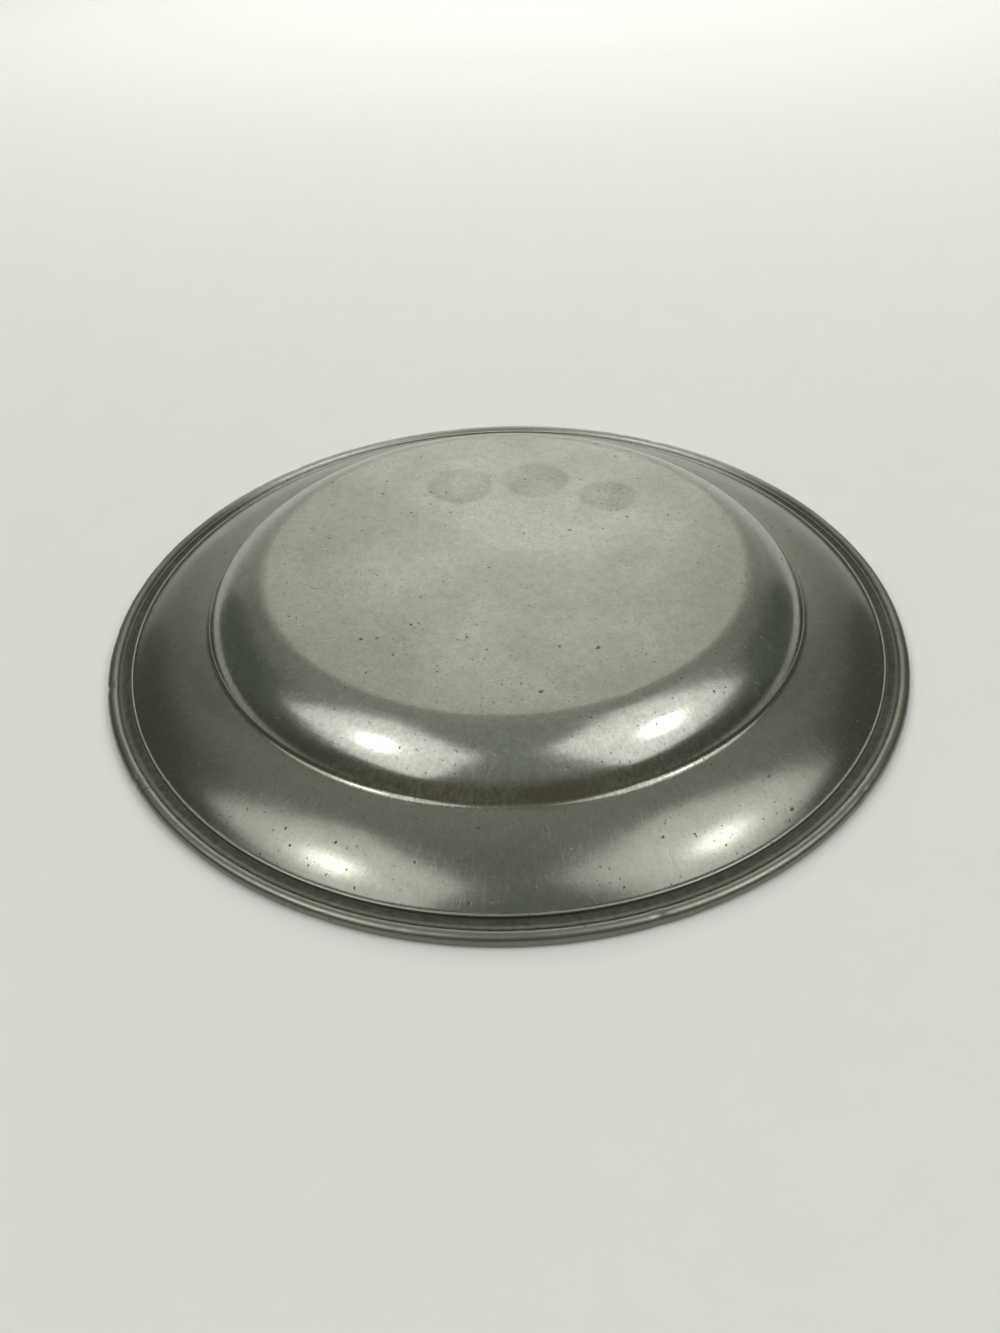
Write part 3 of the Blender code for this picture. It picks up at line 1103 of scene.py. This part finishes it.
def paint_room(studio):
    """Dim room round the studio: dark sides, a warm front, a paler ceiling and a pale back."""
    scene = bpy.context.scene
    world = scene.world or bpy.data.worlds.new("Room")
    scene.world = world
    world.use_nodes = True
    wire = Wiring(world.node_tree)
    back = world.node_tree.nodes["Background"]
    spot = wire.add("ShaderNodeTexCoord").outputs["Generated"]
    _, y, z = wire.split(spot)
    high = wire.ease(z, CEILING_START, CEILING_FULL)
    near = wire.ease(y, FRONT_FULL, FRONT_START, 1.0, 0.0)
    tone = wire.blend(near, studio.side_colour, studio.front_colour)
    tone = wire.blend(high, tone, studio.ceiling_colour)
    palest = (0.0, math.cos(studio.back_tilt), math.sin(studio.back_tilt))
    towards = wire.vector("DOT_PRODUCT", spot, palest)
    tone = wire.blend(wire.ease(towards, BACK_START, BACK_FULL), tone, studio.back_colour)
    wire.put(back.inputs["Color"], tone)
    back.inputs["Strength"].default_value = 1.0


def set_camera(studio):
    """Camera at the photographed height and angle."""
    camera = bpy.data.objects.new("camera", bpy.data.cameras.new("camera"))
    bpy.context.scene.collection.objects.link(camera)
    camera.data.lens = studio.camera_lens
    camera.data.sensor_width = SENSOR_WIDTH
    camera.data.clip_start = NEAREST_VIEW
    stand = Matrix.Translation((0.0, -studio.camera_back, studio.camera_height))
    swing = Matrix.Rotation(studio.camera_turn, 4, "Z")
    tip = Matrix.Rotation(math.pi / 2 - studio.camera_tilt, 4, "X")
    lean = Matrix.Rotation(studio.camera_roll, 4, "Z")
    camera.matrix_world = stand @ (swing @ tip) @ lean
    bpy.context.scene.camera = camera


class PEWTER_OT_set_stage(bpy.types.Operator):
    """Lay the pale floor, hang the backdrop and lamps, and place the camera"""

    bl_idname = "pewter.set_stage"
    bl_label = "Set Stage"
    bl_options = {"REGISTER", "UNDO"}

    def execute(self, context):
        studio = context.scene.pewter_studio
        context.scene.view_settings.view_transform = "Standard"
        material = pale_floor(studio)
        lay_floor(studio, material)
        hang_backdrop(studio, material)
        hang_lamps(studio)
        paint_room(studio)
        set_camera(studio)
        return {"FINISHED"}


OPERATORS = (PEWTER_OT_turn_dish, PEWTER_OT_bend_moulding, PEWTER_OT_run_solder, PEWTER_OT_set_stage)


class PEWTER_PT_plate(bpy.types.Panel):
    """Steps that build the plate and its studio"""

    bl_label = "Pewter Plate"
    bl_space_type = "VIEW_3D"
    bl_region_type = "UI"
    bl_category = "Pewter"

    def draw(self, context):
        for step in OPERATORS:
            self.layout.operator(step.bl_idname)


SETTINGS = {
    "pewter_dish": DishSizes,
    "pewter_moulding": MouldingSizes,
    "pewter_wear": WearAmounts,
    "pewter_finish": FinishColours,
    "pewter_studio": StudioSetup,
}
CLASSES = (*SETTINGS.values(), *OPERATORS, PEWTER_PT_plate)


def register():
    for kind in CLASSES:
        bpy.utils.register_class(kind)
    for key, kind in SETTINGS.items():
        setattr(bpy.types.Scene, key, PointerProperty(type=kind))


def unregister():
    for key in SETTINGS:
        delattr(bpy.types.Scene, key)
    for kind in reversed(CLASSES):
        bpy.utils.unregister_class(kind)


def main():
    register()
    bpy.ops.pewter.turn_dish()
    bpy.ops.pewter.bend_moulding()
    bpy.ops.pewter.run_solder()
    bpy.ops.pewter.set_stage()


if __name__ == "__main__":
    main()
